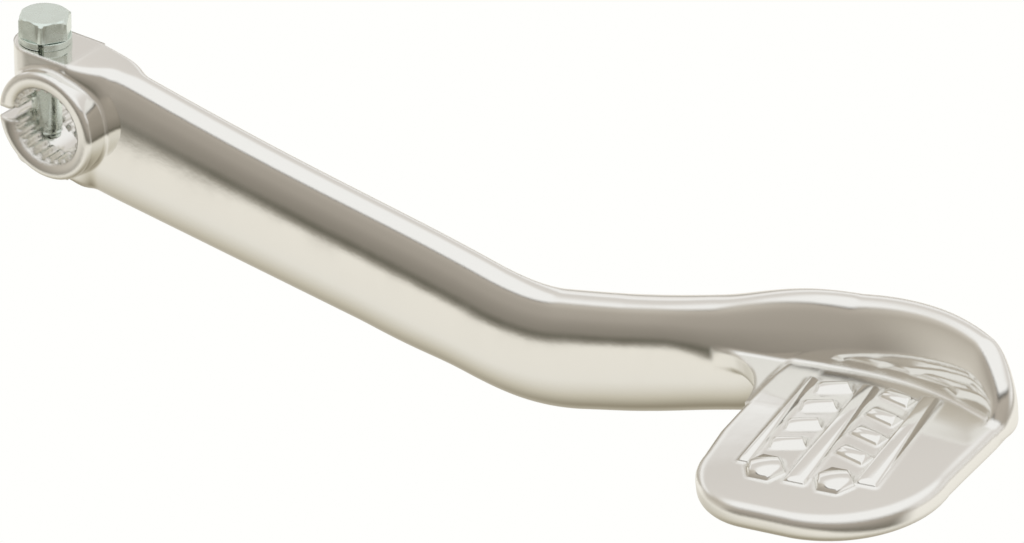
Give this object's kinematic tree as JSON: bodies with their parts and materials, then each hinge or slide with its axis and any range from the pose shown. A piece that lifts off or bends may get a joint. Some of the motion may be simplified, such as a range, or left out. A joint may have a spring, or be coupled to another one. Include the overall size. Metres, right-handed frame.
{
  "type": "kick start lever",
  "caption": "Chromed kick start lever with a splined clamp boss, a cranked arm, a foot plate with a heel ridge, and a pinch bolt.",
  "frame": {"origin": "centre of the splined bore at the boss's inboard face", "axes": "+Y along the bore, inboard towards the engine (the shaft's side); +X along the arm towards the foot plate; +Z the side of the tread and the bolt's head"},
  "size_m": [0.2477, 0.0656, 0.0587],
  "materials": {
    "chrome": "polished chrome",
    "zinc_bolt": "zinc plated"
  },
  "bodies": {
    "root": {"lever_body": "chrome", "pinch_bolt": "zinc_bolt", "spring_washer": "zinc_bolt"}
  },
  "joints": []
}
